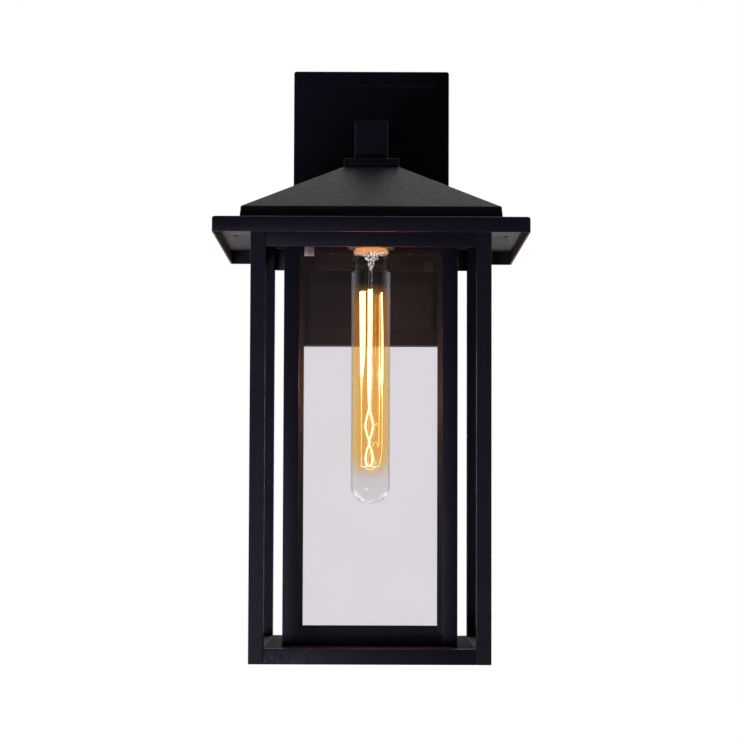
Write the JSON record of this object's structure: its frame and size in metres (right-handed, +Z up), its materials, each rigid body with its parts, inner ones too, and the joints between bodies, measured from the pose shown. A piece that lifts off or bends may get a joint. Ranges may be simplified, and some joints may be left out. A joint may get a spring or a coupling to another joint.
{
  "type": "outdoor wall lantern",
  "caption": "Square black wall lantern with a pyramid roof on a short square arm, clear glass box inside an open cage, and a long tube bulb that comes out through the floor.",
  "frame": {"origin": "centre of the mounting strap's wall face, at the middle of the wall plate", "axes": "+Z up along the height, +Y into the wall, so the lantern's front faces -Y"},
  "size_m": [0.23, 0.2727, 0.4759],
  "materials": {
    "black_powder_coat": "fine textured matte black powder coat",
    "zinc_plated_steel": "satin zinc plate",
    "black_screw": "black oxide screw",
    "green_screw": "green dyed earth screw",
    "foam_seal": "closed cell foam",
    "socket_black": "black heat-proof moulding",
    "socket_brass": "plain brass",
    "bulb_base_brass": "nickel plated brass",
    "bulb_glass": "clear glass",
    "filament_wire": "glowing filament",
    "pane_glass": "clear flat glass",
    "black_sleeve": "black wire sleeve",
    "white_sleeve": "white wire sleeve",
    "green_sleeve": "green wire sleeve",
    "wire_cap": "moulded twist-on cap"
  },
  "bodies": {
    "lantern": {"arm": "black_powder_coat", "arm_nipple": "zinc_plated_steel", "arm_nut": "zinc_plated_steel", "backplate": "black_powder_coat", "backplate_screw_left": "black_screw", "backplate_screw_right": "black_screw", "bottom_plate": "black_powder_coat", "bottom_rail_back": "black_powder_coat", "bottom_rail_front": "black_powder_coat", "bottom_rail_left": "black_powder_coat", "bottom_rail_right": "black_powder_coat", "bridge_nut": "zinc_plated_steel", "bridge_screw_left": "zinc_plated_steel", "bridge_screw_right": "zinc_plated_steel", "cap_block": "black_powder_coat", "eave_tray": "black_powder_coat", "glass_clip_back_left": "zinc_plated_steel", "glass_clip_front_right": "zinc_plated_steel", "glass_pane_back": "pane_glass", "glass_pane_front": "pane_glass", "glass_pane_left": "pane_glass", "glass_pane_right": "pane_glass", "ground_screw": "green_screw", "ground_wire": "green_sleeve", "inner_bottom_rail_back": "black_powder_coat", "inner_bottom_rail_front": "black_powder_coat", "inner_bottom_rail_left": "black_powder_coat", "inner_bottom_rail_right": "black_powder_coat", "inner_post_back_left": "black_powder_coat", "inner_post_back_right": "black_powder_coat", "inner_post_front_left": "black_powder_coat", "inner_post_front_right": "black_powder_coat", "inner_top_rail_back": "black_powder_coat", "inner_top_rail_front": "black_powder_coat", "inner_top_rail_left": "black_powder_coat", "inner_top_rail_right": "black_powder_coat", "live_wire": "black_sleeve", "mounting_strap": "zinc_plated_steel", "neutral_wire": "white_sleeve", "outer_post_back_left": "black_powder_coat", "outer_post_back_right": "black_powder_coat", "outer_post_front_left": "black_powder_coat", "outer_post_front_right": "black_powder_coat", "roof": "black_powder_coat", "roof_nipple": "zinc_plated_steel", "socket_body": "socket_black", "socket_contact": "socket_brass", "socket_shell": "socket_brass", "top_rail_back": "black_powder_coat", "top_rail_front": "black_powder_coat", "top_rail_left": "black_powder_coat", "top_rail_right": "black_powder_coat", "tray_bridge": "zinc_plated_steel", "wall_gasket": "foam_seal", "wire_nut_live": "wire_cap", "wire_nut_neutral": "wire_cap"},
    "bulb": {"bulb_glass": "bulb_glass", "bulb_base": "bulb_base_brass", "bulb_stem": "bulb_glass", "filament": "filament_wire"}
  },
  "joints": [
    {"name": "bulb_removal", "type": "slide", "parent": "lantern", "child": "bulb", "axis": [0, 0, -1], "range_m": [0, 0.345]}
  ]
}
